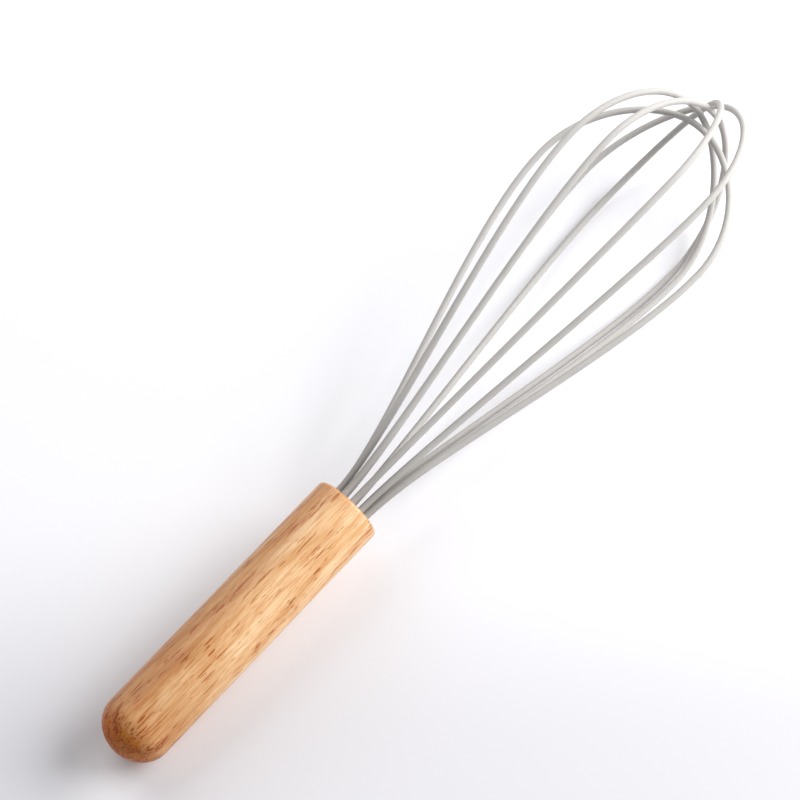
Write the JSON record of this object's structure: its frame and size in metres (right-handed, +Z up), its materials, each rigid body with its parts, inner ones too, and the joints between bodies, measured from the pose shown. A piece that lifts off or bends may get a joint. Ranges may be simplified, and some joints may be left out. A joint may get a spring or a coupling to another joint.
{
  "type": "balloon whisk",
  "caption": "Balloon whisk with a straight turned wooden handle, a domed butt and nested silicone-coated wire loops for beating and whipping.",
  "frame": {"origin": "middle of the lying whisk's bounding box, on the surface that it lies on", "axes": "+X from the handle's butt towards the tip of the balloon, +Z up from the table"},
  "size_m": [0.301, 0.0724, 0.0664],
  "materials": {
    "wood": "light hardwood, turned and sanded, satin clear lacquer",
    "silicone": "light warm grey silicone sleeve, soft satin",
    "steel": "drawn stainless spring wire",
    "nylon": "moulded grey nylon",
    "resin": "cast amber epoxy resin"
  },
  "bodies": {
    "root": {"handle": "wood", "wire_holder": "nylon", "potting": "resin", "loop_1_coat": "silicone", "loop_1_wire": "steel", "loop_2_coat": "silicone", "loop_2_wire": "steel", "loop_3_coat": "silicone", "loop_3_wire": "steel", "loop_4_coat": "silicone", "loop_4_wire": "steel", "loop_5_coat": "silicone", "loop_5_wire": "steel"}
  },
  "joints": []
}
